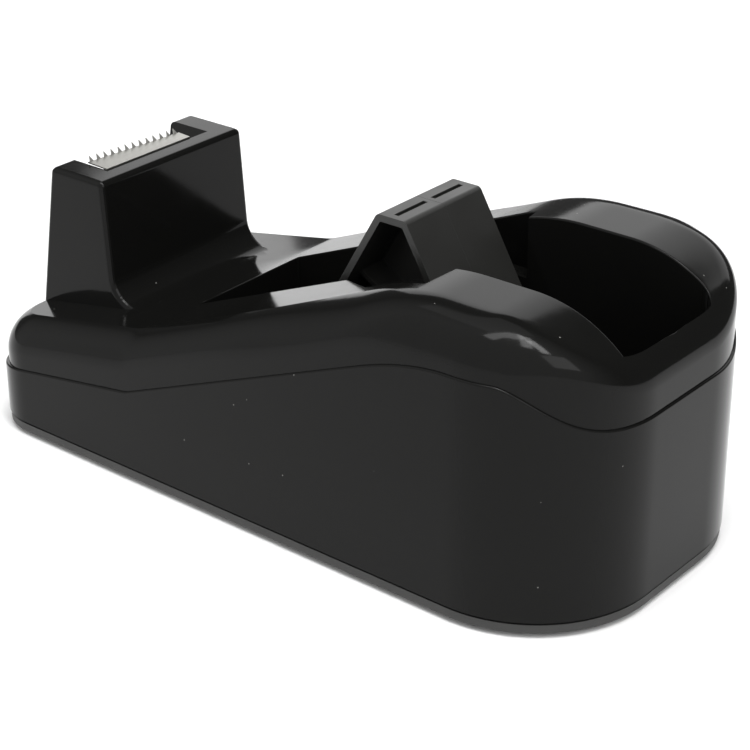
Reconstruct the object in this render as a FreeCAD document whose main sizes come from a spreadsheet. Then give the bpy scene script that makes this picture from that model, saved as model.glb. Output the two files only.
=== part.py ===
import FreeCAD, Part
import math
import os
import Sketcher

# Desktop tape dispenser for wide tape. The blade end points to -X, the tape
# well is behind it, +Z is up and the object stands on z = 0.

os.makedirs("parts", exist_ok=True)
doc = FreeCAD.newDocument("tape_dispenser")

# every size in millimetres
SIZES = {
    "body_length": 265.2, "front_width": 122.6, "rear_width": 127.0,
    "front_corner": 22.0, "rear_corner": 46.0,
    "pad_height": 2.0, "pad_inset": 5.0, "plate_height": 4.0, "plate_inset": 0.5,
    "plate_gap": 1.0, "plate_gap_inset": 2.2,
    "front_height": 40.9, "kink_back": 75.6, "kink_height": 56.5, "crest_height": 104.6,
    "crest_back": 191.5, "crest_round": 76.0, "rear_round": 50.0, "rear_drop_at": 8.2,
    "rear_over": 11.7, "rear_low": 60.0, "shoulder_round": 11.0,
    "ledge_step": 0.9, "ledge_front": 23.1, "ledge_kink_back": 76.6, "ledge_kink_height": 36.0,
    "ledge_crest": 86.0, "ledge_crest_back": 198.6, "ledge_round": 100.0,
    "ledge_rear_round": 75.0, "ledge_rear_at": 15.4, "ledge_rear_low": 68.4,
    "skin": 3.0, "roof": 3.6,
    "tower_top": 98.5, "tower_foot": 38.0, "tower_front_top": 18.3, "tower_front_foot": 10.4,
    "tower_rear_top": 44.7, "tower_rear_foot": 48.9, "tower_width_top": 73.4,
    "tower_width_foot": 74.0, "tower_round": 2.5, "rear_band": 7.6,
    "foot_top": 82.5, "foot_back": 72.0, "foot_low": 44.0, "foot_curve": 10.0,
    "slot_width": 52.0, "slot_depth": 18.5,
    "well_width": 53.0, "well_front": 80.8, "well_rear": 7.2, "well_floor": 9.0, "well_round": 3.0,
    "hub_axis_back": 162.8, "hub_axis_height": 73.4,
    "grip_floor": 79.0, "grip_block": 15.0, "near_grip_depth": 15.0, "near_grip_start": 8.2,
    "near_grip_slant": 20.0, "near_grip_end": 31.8, "near_grip_draft": 0.8,
    "far_grip_depth": 7.0, "far_grip_half": 21.8, "far_grip_draft": 1.8,
    "hub_gap": 0.8, "hub_lobe": 37.2, "hub_flank": 23.8, "hub_wall": 2.5, "hub_corner": 2.2,
    "hub_boss": 18.0, "hub_web": 2.5, "hub_rib": 1.8, "hub_rib_length": 11.0,
    "hub_slot_width": 1.8, "hub_slot_edge": 2.9, "hub_fit": 0.08,
    "axle_diameter": 10.0, "axle_bearing": 5.5, "seat_fit": 0.06, "collar_diameter": 16.0,
    "collar_length": 5.4,
    "blade_gap": 1.0, "blade_short": 8.0, "blade_sheet": 0.8, "blade_reach": 11.6, "blade_leg": 14.0,
    "blade_rise": 2.0, "tooth_pitch": 3.3, "tooth_depth": 3.0,
    "clamp_inset": 2.0, "clamp_height": 11.0, "clamp_depth": 4.5,
    "weight_length": 110.0, "weight_width": 20.0, "weight_height": 36.0, "weight_front": 148.5,
    "weight_gap": 6.5,
    "screw_shank": 3.5, "screw_head": 7.0, "screw_head_height": 2.2, "screw_length": 16.0,
    "boss_diameter": 9.0,
}

sheet = doc.addObject("Spreadsheet::Sheet", "dims")
for row, (alias, value) in enumerate(SIZES.items(), start=1):
    sheet.set("A%d" % row, alias)
    sheet.set("B%d" % row, str(value))
    sheet.setAlias("B%d" % row, alias)
doc.recompute()


def at(number=0.0, **terms):
    """A sum of sheet sizes: its value now and the expression that keeps it up to date."""
    value = number + sum(factor * SIZES[name] for name, factor in terms.items())
    text = " + ".join("(%r) * dims.%s" % (factor, name) for name, factor in terms.items())
    return value, (text + " + (%r) * 1" % number) if text else None


def new_body(label):
    body = doc.addObject("PartDesign::Body", label)
    body.Label = label
    return body


def sketch_on(body, role, label, lift=(0.0, None)):
    """A sketch on one of the body's own origin planes, lifted along its normal."""
    sketch = body.newObject("Sketcher::SketchObject", label)
    plane = [item for item in body.Origin.OriginFeatures if item.Role == role][0]
    sketch.AttachmentSupport = [(plane, "")]
    sketch.MapMode = "FlatFace"
    sketch.AttachmentOffset = FreeCAD.Placement(FreeCAD.Vector(0, 0, lift[0]), FreeCAD.Rotation())
    if lift[1]:
        sketch.setExpression("AttachmentOffset.Base.z", lift[1])
    return sketch


def tie(sketch, index, expression):
    if expression:
        sketch.setExpression("Constraints[%d]" % index, expression)


def pin(sketch, geometry, end, x, y):
    """Holds one point at a pair of sheet positions."""
    for kind, (value, expression) in (("DistanceX", x), ("DistanceY", y)):
        tie(sketch, sketch.addConstraint(Sketcher.Constraint(kind, geometry, end, value)), expression)


def loop(sketch, corners):
    """A closed outline, anticlockwise. Each corner is (x, y, radius or None)."""
    count = len(corners)
    points = [FreeCAD.Vector(c[0][0], c[1][0], 0) for c in corners]
    into, out, turns = [], [], []
    for i, corner in enumerate(corners):
        before = (points[i] - points[i - 1]).normalize()
        after = (points[(i + 1) % count] - points[i]).normalize()
        turn = math.atan2(before.x * after.y - before.y * after.x, before.dot(after))
        cut = corner[2][0] * math.tan(abs(turn) / 2) if corner[2] else 0.0
        into.append(points[i] - before * cut)
        out.append(points[i] + after * cut)
        turns.append((turn, before))
    lines = [sketch.addGeometry(Part.LineSegment(out[i], into[(i + 1) % count])) for i in range(count)]
    for i, corner in enumerate(corners):
        last, following = lines[i - 1], lines[i]
        if not corner[2]:
            sketch.addConstraint(Sketcher.Constraint("Coincident", last, 2, following, 1))
            pin(sketch, following, 1, corner[0], corner[1])
            continue
        turn, before = turns[i]
        side = 1.0 if turn > 0 else -1.0
        radius = corner[2][0]
        centre = into[i] + FreeCAD.Vector(-before.y, before.x, 0) * (side * radius)
        first, second = (into[i], out[i]) if side > 0 else (out[i], into[i])
        begin = math.atan2(first.y - centre.y, first.x - centre.x)
        finish = math.atan2(second.y - centre.y, second.x - centre.x)
        circle = Part.Circle(centre, FreeCAD.Vector(0, 0, 1), radius)
        arc = sketch.addGeometry(Part.ArcOfCircle(circle, begin, finish))
        start, stop = (1, 2) if side > 0 else (2, 1)
        sketch.addConstraint(Sketcher.Constraint("Tangent", last, 2, arc, start))
        sketch.addConstraint(Sketcher.Constraint("Tangent", arc, stop, following, 1))
        tie(sketch, sketch.addConstraint(Sketcher.Constraint("Radius", arc, radius)), corner[2][1])
        point = sketch.addGeometry(Part.Point(points[i]), True)
        sketch.addConstraint(Sketcher.Constraint("PointOnObject", point, 1, last))
        sketch.addConstraint(Sketcher.Constraint("PointOnObject", point, 1, following))
        pin(sketch, point, 1, corner[0], corner[1])


def ring(sketch, x, y, diameter):
    circle = sketch.addGeometry(Part.Circle(FreeCAD.Vector(x[0], y[0], 0), FreeCAD.Vector(0, 0, 1),
                                            diameter[0] / 2))
    tie(sketch, sketch.addConstraint(Sketcher.Constraint("Diameter", circle, diameter[0])), diameter[1])
    pin(sketch, circle, 3, x, y)


def box_corners(left, right, low, high, radius=None):
    return [(left, low, radius), (right, low, radius), (right, high, radius), (left, high, radius)]


def grow(body, kind, sketch, length, symmetric=False, reverse=False):
    """A pad or pocket of a sketch."""
    before = body_volume(body)
    feature = body.newObject("PartDesign::" + kind, kind + "_" + sketch.Name)
    feature.Profile = sketch
    feature.Length = length[0]
    if length[1]:
        feature.setExpression("Length", length[1])
    if symmetric:
        feature.SideType = "Symmetric"
    feature.Reversed = reverse
    sketch.Visibility = False
    doc.recompute()
    after = feature.Shape.Volume
    if (after > before) != (kind == "Pad") or abs(after - before) < 1e-3:
        raise RuntimeError("%s did not change %s as meant: %.1f to %.1f"
                           % (feature.Name, body.Label, before, after))
    body.Tip = feature
    return feature


def body_volume(body):
    tip = body.Tip
    return tip.Shape.Volume if tip is not None and not tip.Shape.isNull() else 0.0


def round_edges(body, label, chosen, radius):
    base = body.Tip
    names = ["Edge%d" % (i + 1) for i, edge in enumerate(base.Shape.Edges) if chosen(edge)]
    if not names:
        raise RuntimeError("no edges for " + label)
    fillet = body.newObject("PartDesign::Fillet", label)
    fillet.Base = (base, names)
    fillet.Radius = radius[0]
    fillet.setExpression("Radius", radius[1])
    doc.recompute()
    body.Tip = fillet
    return fillet


HALF = at(body_length=0.5)
FRONT = at(body_length=-0.5)
BASE = at(pad_height=1, plate_height=1)
HIGH = 135.0


def outline(inset):
    """The plan outline, drawn in by a sum of sheet sizes."""
    def moved(sign, **terms):
        return at(**{**terms, **{name: -sign * factor for name, factor in inset.items()}})

    def corner(name):
        return at(**{name: 1, **{key: -factor for key, factor in inset.items()}})

    left, right = moved(-1, body_length=-0.5), moved(1, body_length=0.5)
    return [(left, moved(-1, front_width=-0.5), corner("front_corner")),
            (right, moved(-1, rear_width=-0.5), corner("rear_corner")),
            (right, moved(1, rear_width=0.5), corner("rear_corner")),
            (left, moved(1, front_width=0.5), corner("front_corner"))]


def top_region(drop):
    """Everything above the top profile, lowered by a sum of sheet sizes."""
    down = {name: -factor for name, factor in drop.items()}
    return [(at(-5, body_length=-0.5), at(front_height=1, **down), None),
            (at(body_length=-0.5, kink_back=1), at(kink_height=1, **down), None),
            (at(body_length=-0.5, crest_back=1), at(crest_height=1, **down), at(crest_round=1)),
            (at(body_length=0.5, rear_drop_at=-1), at(crest_height=1, **down), at(rear_round=1)),
            (at(body_length=0.5, rear_over=1), at(rear_low=1, **down), None),
            (at(body_length=0.5, rear_over=1), at(HIGH + 5), None),
            (at(-5, body_length=-0.5), at(HIGH + 5), None)]


LEDGE_REGION = [(at(-5, body_length=-0.5), at(ledge_front=1), None),
                (at(body_length=-0.5, ledge_kink_back=1), at(ledge_kink_height=1), None),
                (at(body_length=-0.5, ledge_crest_back=1), at(ledge_crest=1), at(ledge_round=1)),
                (at(body_length=0.5, ledge_rear_at=-1), at(ledge_crest=1), at(ledge_rear_round=1)),
                (at(body_length=0.5, rear_over=1), at(ledge_rear_low=1), None),
                (at(body_length=0.5, rear_over=1), at(HIGH + 5), None),
                (at(-5, body_length=-0.5), at(HIGH + 5), None)]


def outline_sketch(body, label, inset, lift):
    sketch = sketch_on(body, "XY_Plane", label, lift)
    loop(sketch, outline(inset))
    return sketch


def side_sketch(body, label, corners):
    sketch = sketch_on(body, "XZ_Plane", label)
    loop(sketch, corners)
    return sketch


def ledge_height(x):
    """Height of the ledge at x, from its straight parts."""
    kink = -SIZES["body_length"] / 2 + SIZES["ledge_kink_back"]
    crest = -SIZES["body_length"] / 2 + SIZES["ledge_crest_back"]
    if x < kink:
        share = (x - (-SIZES["body_length"] / 2 - 5)) / (kink + SIZES["body_length"] / 2 + 5)
        return SIZES["ledge_front"] + share * (SIZES["ledge_kink_height"] - SIZES["ledge_front"])
    if x < crest:
        return SIZES["ledge_kink_height"] + (x - kink) / (crest - kink) * (
            SIZES["ledge_crest"] - SIZES["ledge_kink_height"])
    over = x - (SIZES["body_length"] / 2 - SIZES["ledge_rear_at"] - 22)
    return SIZES["ledge_crest"] - max(over, 0) * 0.4


def rim_edges(inset):
    """Picks the edges where the outer wall meets the top surface."""
    length = SIZES["body_length"]

    def chosen(edge):
        ends = [edge.valueAt(edge.FirstParameter), edge.valueAt(edge.LastParameter)]
        middle = edge.valueAt((edge.FirstParameter + edge.LastParameter) / 2)
        if abs(ends[0].x - ends[1].x) < 1e-4 and abs(ends[0].y - ends[1].y) < 1e-4:
            return False
        if middle.z < 30 or middle.z > SIZES["crest_height"] + 0.01:
            return False
        across = abs(ends[0].x - ends[1].x) < 1e-4
        if across and abs(abs(middle.x) - (length / 2 - inset)) > 0.01:
            return False
        low = ledge_height(middle.x) + 6.0
        return middle.z > low
    return chosen


def rectangle(body, role, label, left, right, low, high, lift=(0.0, None), radius=None):
    sketch = sketch_on(body, role, label, lift)
    loop(sketch, box_corners(left, right, low, high, radius))
    return sketch


def loft(body, kind, label, first, second):
    feature = body.newObject("PartDesign::" + kind, label)
    feature.Profile = first
    feature.Sections = [second]
    feature.Ruled = True
    doc.recompute()
    body.Tip = feature
    return feature


# ---------------------------------------------------------------- housing, outside
outer = new_body("housing_outer")
TALL = at(HIGH, pad_height=-1, plate_height=-1)
grow(outer, "Pad", outline_sketch(outer, "wall_outline", {}, BASE), TALL)
grow(outer, "Pocket", side_sketch(outer, "ledge_profile", LEDGE_REGION), (400.0, None), symmetric=True)
grow(outer, "Pad", outline_sketch(outer, "upper_outline", {"ledge_step": 1}, BASE), TALL)
grow(outer, "Pocket", side_sketch(outer, "top_profile", top_region({})), (400.0, None), symmetric=True)
round_edges(outer, "shoulder", rim_edges(SIZES["ledge_step"]), at(shoulder_round=1))


def tower_section(body, label, inset, height, front, rear, width):
    grow_in = {name: factor for name, factor in inset.items()}
    less = {name: -factor for name, factor in inset.items()}
    return rectangle(body, "XY_Plane", label,
                     at(body_length=-0.5, **{front: 1}, **grow_in), at(body_length=-0.5, **{rear: 1}, **less),
                     at(**{width: -0.5}, **grow_in), at(**{width: 0.5}, **less), lift=height)


loft(outer, "AdditiveLoft", "tower",
     tower_section(outer, "tower_foot_outline", {}, at(tower_foot=1),
                   "tower_front_foot", "tower_rear_foot", "tower_width_foot"),
     tower_section(outer, "tower_top_outline", {}, at(tower_top=1),
                   "tower_front_top", "tower_rear_top", "tower_width_top"))


def tower_edges(edge):
    ends = [edge.valueAt(edge.FirstParameter), edge.valueAt(edge.LastParameter)]
    high = max(p.z for p in ends)
    low = min(p.z for p in ends)
    return abs(high - SIZES["tower_top"]) < 0.01 and max(p.x for p in ends) < -70 and high - low > 20


round_edges(outer, "tower_corners", tower_edges, at(tower_round=1))

# hollow curve at the foot of the tower's rear face
foot = sketch_on(outer, "XZ_Plane", "tower_foot_curve")
REAR_FACE = dict(body_length=-0.5, tower_rear_top=1)
loop(foot, [(at(-6, **REAR_FACE), at(foot_low=1), None),
            (at(body_length=-0.5, foot_back=1), at(foot_low=1), None),
            (at(body_length=-0.5, foot_back=1), at(-2.2, kink_height=1), None),
            (at(2.9, **REAR_FACE), at(-6.2, kink_height=1), at(foot_curve=1)),
            (at(0.7, **REAR_FACE), at(foot_top=1), None),
            (at(-6, **REAR_FACE), at(foot_top=1), None)])
grow(outer, "Pad", foot, at(-1.6, tower_width_top=1), symmetric=True)

# ---------------------------------------------------------------- housing, inside
hollow = new_body("housing_hollow")
grow(hollow, "Pad", outline_sketch(hollow, "hollow_outline", {"ledge_step": 1, "skin": 1}, BASE), TALL)
grow(hollow, "Pocket", side_sketch(hollow, "hollow_profile", top_region({"roof": 1})),
     (400.0, None), symmetric=True)
round_edges(hollow, "hollow_shoulder", rim_edges(SIZES["ledge_step"] + SIZES["skin"]),
            at(-3, shoulder_round=1))
loft(hollow, "AdditiveLoft", "tower_hollow",
     tower_section(hollow, "tower_hollow_foot", {"skin": 1}, at(-2, tower_foot=1),
                   "tower_front_foot", "tower_rear_foot", "tower_width_foot"),
     tower_section(hollow, "tower_hollow_top", {"skin": 1}, at(-3, tower_top=1, slot_depth=-1),
                   "tower_front_top", "tower_rear_top", "tower_width_foot"))
grow(hollow, "Pocket", rectangle(
    hollow, "XY_Plane", "well_walls", at(body_length=-0.5, well_front=1, skin=-1),
    at(5, body_length=0.5), at(well_width=-0.5, skin=-1), at(well_width=0.5, skin=1)),
    (400.0, None), symmetric=True)


def grip_near(extra):
    """Plan of the slanted finger recess in the near wall."""
    more = {"skin": extra} if extra else {}
    less = {"skin": -extra} if extra else {}
    start = dict(body_length=-0.5, hub_axis_back=1, axle_diameter=-0.5, near_grip_start=-1, **less)
    end = dict(body_length=-0.5, hub_axis_back=1, near_grip_end=1, **more)
    depth = at(well_width=-0.5, near_grip_depth=-1, **less)
    return [(at(**start), at(2, well_width=-0.5), None),
            (at(**start), at(well_width=-0.5), None),
            (at(near_grip_slant=1, **start), depth, None),
            (at(near_grip_draft=-1, **end), depth, None),
            (at(**end), at(well_width=-0.5), None),
            (at(**end), at(2, well_width=-0.5), None)]


def grip_far(extra):
    """Plan of the shallower recess in the far wall."""
    more = {"skin": extra} if extra else {}
    less = {"skin": -extra} if extra else {}
    start = dict(body_length=-0.5, hub_axis_back=1, far_grip_half=-1, **less)
    end = dict(body_length=-0.5, hub_axis_back=1, far_grip_half=1, **more)
    depth = at(well_width=0.5, far_grip_depth=1, **more)
    return [(at(**end), at(-2, well_width=0.5), None),
            (at(**end), at(well_width=0.5), None),
            (at(far_grip_draft=-1, **end), depth, None),
            (at(far_grip_draft=1, **start), depth, None),
            (at(**start), at(well_width=0.5), None),
            (at(**start), at(-2, well_width=0.5), None)]


for label, plan in (("near_block", grip_near(1)), ("far_block", grip_far(1))):
    block = sketch_on(hollow, "XY_Plane", label, at(grip_floor=1, grip_block=-1))
    loop(block, plan)
    grow(hollow, "Pocket", block, (200.0, None), reverse=True)

POSTS = [(at(26, body_length=-0.5), at(-19, front_width=0.5)),
         (at(112, body_length=-0.5), at(-11, front_width=0.5)),
         (at(-23, body_length=0.5), at(-27, rear_width=0.5))]
posts = sketch_on(hollow, "XY_Plane", "screw_posts")
for x, y in POSTS:
    for side in (-1, 1):
        ring(posts, x, (side * y[0], "(%d) * (%s)" % (side, y[1])), at(boss_diameter=1))
grow(hollow, "Pocket", posts, (400.0, None), symmetric=True)

# ---------------------------------------------------------------- spaces cut in the housing
spaces = new_body("housing_spaces")
WELL = sketch_on(spaces, "XY_Plane", "well_plan", at(well_floor=1))
loop(WELL, [(at(body_length=-0.5, well_front=1), at(well_width=-0.5), None),
            (at(body_length=0.5, well_rear=-1), at(well_width=-0.5), at(well_round=1)),
            (at(body_length=0.5, well_rear=-1), at(well_width=0.5), at(well_round=1)),
            (at(body_length=-0.5, well_front=1), at(well_width=0.5), None)])
grow(spaces, "Pad", WELL, (HIGH, None))
for label, plan in (("near_grip", grip_near(0)), ("far_grip", grip_far(0))):
    grip = sketch_on(spaces, "XY_Plane", label, at(grip_floor=1))
    loop(grip, plan)
    grow(spaces, "Pad", grip, (HIGH - 60.0, None))
seat = sketch_on(spaces, "XZ_Plane", "axle_seat")
AXIS_X = at(body_length=-0.5, hub_axis_back=1)
AXIS_Z = at(hub_axis_height=1)
loop(seat, [(at(body_length=-0.5, hub_axis_back=1, axle_diameter=-0.5, seat_fit=-1),
             at(hub_axis_height=1, axle_diameter=-0.5, seat_fit=-1), at(-0.001, axle_diameter=0.5, seat_fit=1)),
            (at(body_length=-0.5, hub_axis_back=1, axle_diameter=0.5, seat_fit=1),
             at(hub_axis_height=1, axle_diameter=-0.5, seat_fit=-1), at(-0.001, axle_diameter=0.5, seat_fit=1)),
            (at(body_length=-0.5, hub_axis_back=1, axle_diameter=0.5, seat_fit=1), at(1, grip_floor=1), None),
            (at(body_length=-0.5, hub_axis_back=1, axle_diameter=-0.5, seat_fit=-1), at(1, grip_floor=1), None)])
grow(spaces, "Pad", seat, at(0.4, well_width=1, axle_bearing=2), symmetric=True)
blade_slot = new_body("blade_slot_space")
grow(blade_slot, "Pad", rectangle(
    blade_slot, "XY_Plane", "slot_plan", at(-10, body_length=-0.5),
    at(body_length=-0.5, tower_rear_top=1, rear_band=-1), at(slot_width=-0.5), at(slot_width=0.5),
    lift=at(tower_top=1, slot_depth=-1)), (80.0, None))
pilots = new_body("pilot_holes")
pilot = sketch_on(pilots, "XY_Plane", "pilot_plan", at(pad_height=1))
for x, y in POSTS:
    for side in (-1, 1):
        ring(pilot, x, (side * y[0], "(%d) * (%s)" % (side, y[1])), at(0.1, screw_shank=1))
grow(pilots, "Pad", pilot, at(1, screw_length=1))
clamp_pilots = new_body("clamp_pilot_holes")


def across(share, **more):
    """A place across the blade, which starts at the near cheek and stops short of the far one:
    -0.5 is its near end and 0.5 its far end."""
    return at(slot_width=share, blade_gap=-2 * share, blade_short=-share - 0.5, **more)


CLAMP_Z = at(-7.0, tower_top=1)
cp = sketch_on(clamp_pilots, "YZ_Plane", "clamp_pilot_plan", at(-6, body_length=-0.5, tower_rear_top=1))
for side in (-1, 1):
    ring(cp, across(0.3 * side), CLAMP_Z, at(2.6))
grow(clamp_pilots, "Pad", cp, (9.0, None), symmetric=True)


def cut(label, base, tool):
    feature = doc.addObject("Part::Cut", label)
    feature.Base = base
    feature.Tool = tool
    feature.Label = label
    doc.recompute()
    if feature.Shape.Volume >= base.Shape.Volume - 1e-3:
        raise RuntimeError(label + " cut nothing")
    return feature


shell = cut("housing_shell", outer, hollow)
shell = cut("housing_with_well", shell, spaces)
shell = cut("housing_with_slot", shell, blade_slot)
shell = cut("housing_with_pilots", shell, pilots)
housing = cut("housing", shell, clamp_pilots)

# ---------------------------------------------------------------- base
plate = new_body("bottom_plate")
grow(plate, "Pad", outline_sketch(plate, "plate_outline", {"plate_inset": 1}, at(pad_height=1)),
     at(plate_height=1, plate_gap=-1))
grow(plate, "Pad", outline_sketch(plate, "plate_land", {"plate_gap_inset": 1}, at(pad_height=1)),
     at(plate_height=1))
heads = sketch_on(plate, "XY_Plane", "head_recesses", at(pad_height=1))
shanks = sketch_on(plate, "XY_Plane", "shank_holes", at(pad_height=1))
for x, y in POSTS:
    for side in (-1, 1):
        place = (side * y[0], "(%d) * (%s)" % (side, y[1]))
        ring(heads, x, place, at(1, screw_head=1))
        ring(shanks, x, place, at(0.3, screw_shank=1))
grow(plate, "Pocket", heads, at(0.1, screw_head_height=1), reverse=True)
grow(plate, "Pocket", shanks, (20.0, None), reverse=True)

foot_pad = new_body("foot_pad")
grow(foot_pad, "Pad", outline_sketch(foot_pad, "pad_outline", {"pad_inset": 1}, (0.0, None)),
     at(pad_height=1))
access = sketch_on(foot_pad, "XY_Plane", "screw_access")
for x, y in POSTS:
    for side in (-1, 1):
        ring(access, x, (side * y[0], "(%d) * (%s)" % (side, y[1])), at(2, screw_head=1))
grow(foot_pad, "Pocket", access, (20.0, None), reverse=True)


def screw_shape(x, y):
    """A pan head screw standing on its head at x, y."""
    head = doc.addObject("Part::Cylinder", "screw_head")
    head.setExpression("Radius", "dims.screw_head / 2")
    head.setExpression("Height", "dims.screw_head_height")
    shank = doc.addObject("Part::Cylinder", "screw_shank")
    shank.setExpression("Radius", "dims.screw_shank / 2")
    shank.setExpression("Height", "dims.screw_length")
    recess = doc.addObject("Part::Box", "screw_recess")
    for side in ("Length", "Width"):
        recess.setExpression(side, "dims.screw_head * 0.32")
    recess.Height = 1.2
    for item, up in ((head, "0.05"), (shank, "0.05")):
        item.setExpression("Placement.Base.x", x[1])
        item.setExpression("Placement.Base.y", y[1])
        item.setExpression("Placement.Base.z", "dims.pad_height + " + up)
    recess.setExpression("Placement.Base.x", x[1] + " - dims.screw_head * 0.16")
    recess.setExpression("Placement.Base.y", y[1] + " - dims.screw_head * 0.16")
    recess.setExpression("Placement.Base.z", "dims.pad_height")
    both = doc.addObject("Part::Fuse", "screw_blank")
    both.Base, both.Tool = head, shank
    done = doc.addObject("Part::Cut", "screw")
    done.Base, done.Tool = both, recess
    return done


base_list = [screw_shape(x, (side * y[0], "(%d) * (%s)" % (side, y[1]))) for x, y in POSTS for side in (-1, 1)]
base_screws = doc.addObject("Part::Compound", "base_screws")
base_screws.Label = "base_screws"
base_screws.Links = base_list
doc.recompute()

# ---------------------------------------------------------------- weights in the side channels
# A wider well pushes the weights out, so they also move forward, clear of the rounded rear wall.
weights = []
for side, label in ((-1, "near_weight"), (1, "far_weight")):
    weight = new_body(label)
    inner = at(well_width=0.5 * side, weight_gap=side)
    outer_edge = at(well_width=0.5 * side, weight_gap=side, weight_width=side)
    low, high = (outer_edge, inner) if side < 0 else (inner, outer_edge)
    grow(weight, "Pad", rectangle(weight, "XY_Plane", label + "_plan",
                                  at(body_length=-0.5, weight_front=1, well_width=-0.5),
                                  at(body_length=-0.5, weight_front=1, well_width=-0.5, weight_length=1), low, high,
                                  lift=BASE, radius=(3.0, None)), at(weight_height=1))
    weights.append(weight)

# ---------------------------------------------------------------- hub
SIN, COS = 0.5, math.sqrt(3) / 2


def hub_plan(inset, radius):
    """The three-lobed outline round the hub axis, drawn in by a sum of sheet sizes."""
    corners = []
    for turn in range(3):
        angle = math.radians(120 * turn)
        c, s = math.cos(angle), math.sin(angle)
        for side in (1, -1):
            # lobe flat at distance lobe, flank at distance flank, 60 degrees apart
            across = {"hub_flank": side / COS, "hub_lobe": -side * SIN / COS}
            lean = {name: -side * factor * (1 - SIN) / COS for name, factor in inset.items()}
            terms_x = {"hub_flank": c * across["hub_flank"], "hub_lobe": c * across["hub_lobe"] - s}
            terms_z = {"hub_flank": s * across["hub_flank"], "hub_lobe": s * across["hub_lobe"] + c}
            for name, factor in lean.items():
                terms_x[name] = c * factor + s * inset[name]
                terms_z[name] = s * factor - c * inset[name]
            corners.append((at(body_length=-0.5, hub_axis_back=1, **terms_x),
                            at(hub_axis_height=1, **terms_z), radius))
    return corners


def hub_half(label, side):
    """One half of the hub: three-lobed tube, web, boss, ribs and lobe slots."""
    body = new_body(label)
    stop = at(well_width=0.5, collar_length=-1, hub_gap=-1)
    tube = sketch_on(body, "XZ_Plane", label + "_outline")
    loop(tube, hub_plan({}, at(hub_corner=1)))
    # the XZ plane's normal is -Y, so the near half grows along it
    grow(body, "Pad", tube, stop, reverse=side > 0)
    room = sketch_on(body, "XZ_Plane", label + "_room", at(hub_web=-side))
    loop(room, hub_plan({"hub_wall": 1}, (0.8, None)))
    grow(body, "Pocket", room, (60.0, None), reverse=side < 0)
    boss = sketch_on(body, "XZ_Plane", label + "_boss")
    ring(boss, AXIS_X, AXIS_Z, at(hub_boss=1))
    grow(body, "Pad", boss, stop, reverse=side > 0)
    for turn in range(3):
        angle = math.radians(60 + 120 * turn)
        # rib runs from the boss out to the middle of a flank
        rib = sketch_on(body, "XZ_Plane", "%s_rib_%d" % (label, turn))
        dx, dz = -math.sin(angle), math.cos(angle)
        px, pz = dz, -dx
        corners = []
        for reach, sign in ((0.3, -1), (1.0, -1), (1.0, 1), (0.3, 1)):
            last = {"hub_wall": -0.5} if reach == 1.0 else {}
            tx = {"hub_flank": dx * reach, "hub_rib": px * sign * 0.5}
            tz = {"hub_flank": dz * reach, "hub_rib": pz * sign * 0.5}
            for name, factor in last.items():
                tx[name], tz[name] = dx * factor, dz * factor
            corners.append((at(body_length=-0.5, hub_axis_back=1, **tx), at(hub_axis_height=1, **tz), None))
        loop(rib, corners)
        grow(body, "Pad", rib, at(hub_web=1, hub_rib_length=1), reverse=side > 0)
    bore = sketch_on(body, "XZ_Plane", label + "_bore")
    ring(bore, AXIS_X, AXIS_Z, at(axle_diameter=1, hub_fit=2))
    grow(body, "Pocket", bore, (120.0, None), symmetric=True)
    return body


near_hub = hub_half("hub_half_near", -1)
far_hub = hub_half("hub_half_far", 1)


SLOT_LENGTH = at(-2, well_width=0.5, collar_length=-1, hub_gap=-1, hub_slot_edge=-1)[1]


def lobe_slots(side):
    """Three slot cutters, one through each lobe flat."""
    tools = []
    for turn in range(3):
        tool = doc.addObject("Part::Box", "lobe_slot")
        tool.setExpression("Length", "dims.hub_slot_width")
        tool.setExpression("Width", SLOT_LENGTH)
        tool.setExpression("Height", "dims.hub_wall + 3")
        angle = 120 * turn
        c, s = math.cos(math.radians(angle)), math.sin(math.radians(angle))
        tool.Placement = FreeCAD.Placement(FreeCAD.Vector(), FreeCAD.Rotation(FreeCAD.Vector(0, 1, 0), -angle))
        reach = "(dims.hub_lobe - dims.hub_wall - 1)"
        tool.setExpression("Placement.Base.x", "dims.hub_axis_back - dims.body_length / 2 + (%r) * %s"
                           " - (%r) * dims.hub_slot_width / 2" % (-s, reach, c))
        tool.setExpression("Placement.Base.z", "dims.hub_axis_height + (%r) * %s"
                           " - (%r) * dims.hub_slot_width / 2" % (c, reach, s))
        tool.setExpression("Placement.Base.y", "-(%s) - 2" % SLOT_LENGTH if side < 0 else "2")
        tools.append(tool)
    group = doc.addObject("Part::Compound", "lobe_slots")
    group.Links = tools
    return group


hub_near = cut("hub_near", near_hub, lobe_slots(-1))
hub_far = cut("hub_far", far_hub, lobe_slots(1))

axle = new_body("hub_axle")
axle_plan = sketch_on(axle, "XZ_Plane", "axle_section")
ring(axle_plan, AXIS_X, AXIS_Z, at(axle_diameter=1))
grow(axle, "Pad", axle_plan, at(well_width=1, axle_bearing=2), symmetric=True)

collars = []
for side, label in ((-1, "near_collar"), (1, "far_collar")):
    collar = new_body(label)
    face = sketch_on(collar, "XZ_Plane", label + "_section",
                     at(-side * 0.3, well_width=-0.5 * side, collar_length=side, hub_gap=side))
    ring(face, AXIS_X, AXIS_Z, at(collar_diameter=1))
    ring(face, AXIS_X, AXIS_Z, at(axle_diameter=1))
    grow(collar, "Pad", face, at(collar_length=1), reverse=side > 0)
    collars.append(collar)

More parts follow.
